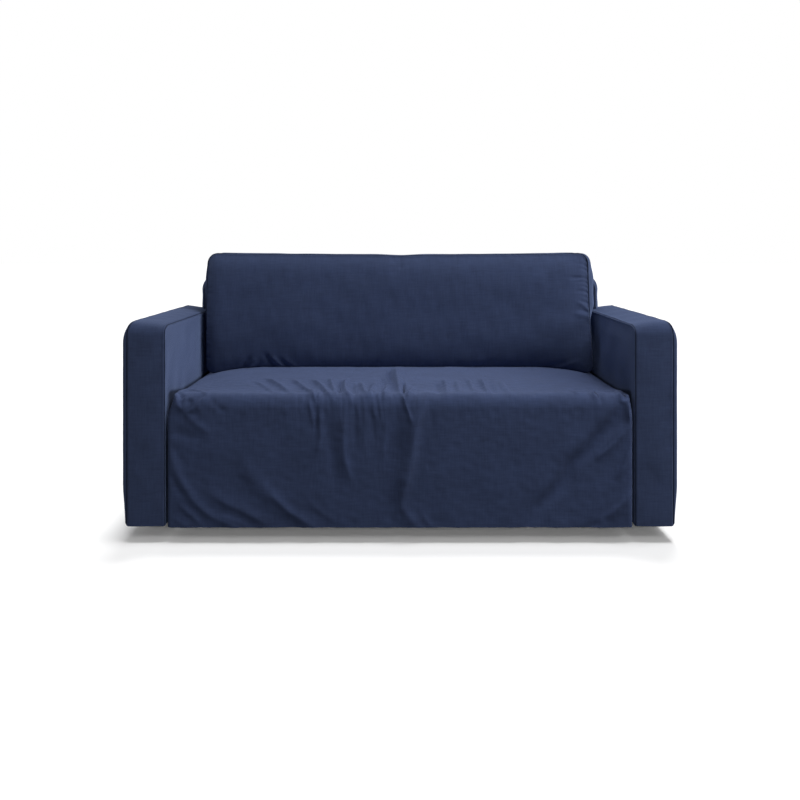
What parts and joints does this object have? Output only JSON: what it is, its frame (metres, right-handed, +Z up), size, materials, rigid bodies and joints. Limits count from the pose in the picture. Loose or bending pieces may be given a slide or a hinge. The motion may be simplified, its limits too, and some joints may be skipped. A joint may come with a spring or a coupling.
{
  "type": "sofa slipcover",
  "caption": "Fitted cloth slipcover for a compact box-arm sofa, loose over the seat and down to the hem, with a boxed cover for its back cushion.",
  "frame": {"origin": "middle of the underside of the cloth over the top of the sofa's back, where the sofa carries the cover", "axes": "+X to the right as seen from the front, +Y to the rear, +Z up; the front drop faces -Y"},
  "size_m": [1.661, 0.8903, 0.8117],
  "materials": {
    "cover_cloth": "matt navy plain weave with a slubbed linen look"
  },
  "bodies": {
    "root": {"arm_inside_left": "cover_cloth", "arm_inside_right": "cover_cloth", "arm_outside_left": "cover_cloth", "arm_outside_right": "cover_cloth", "arm_strip_left": "cover_cloth", "arm_strip_right": "cover_cloth", "back_inside": "cover_cloth", "back_outside": "cover_cloth", "back_strip": "cover_cloth", "cushion_back": "cover_cloth", "cushion_front": "cover_cloth", "cushion_strip": "cover_cloth", "seat_sheet": "cover_cloth"}
  },
  "joints": []
}
